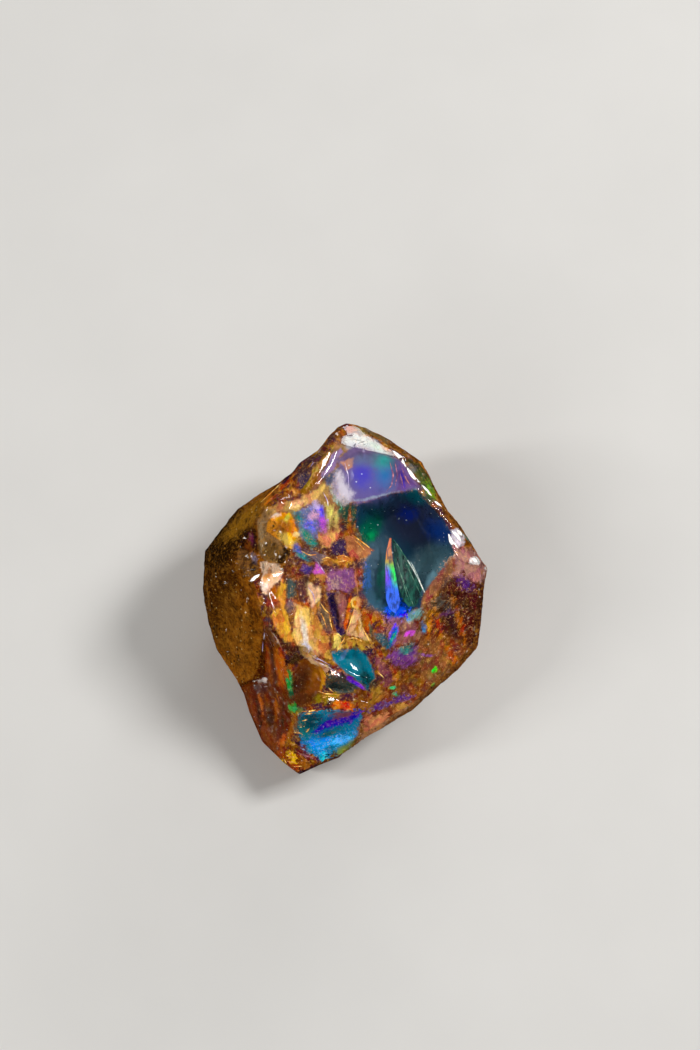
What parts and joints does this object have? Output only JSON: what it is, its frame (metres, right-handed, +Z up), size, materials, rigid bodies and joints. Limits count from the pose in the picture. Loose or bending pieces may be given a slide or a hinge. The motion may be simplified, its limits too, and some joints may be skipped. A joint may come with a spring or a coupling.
{
  "type": "rough opal",
  "caption": "Broken nodule of brown host rock, its front open on clear opal with play of colour, lying on its back.",
  "frame": {"origin": "on the flat resting face, under the middle of the stone", "axes": "+Z up out of the resting face, +Y towards the stone's peak, +X to the right as the broken front is seen with the peak up"},
  "size_m": [0.0343, 0.0414, 0.023],
  "materials": {
    "host_rock": "iron-stained sandstone, wet and slightly glossy",
    "opal": "clear opal with a polished, freshly broken surface"
  },
  "bodies": {
    "root": {"host_rock": "host_rock", "opal": "opal"}
  },
  "joints": []
}
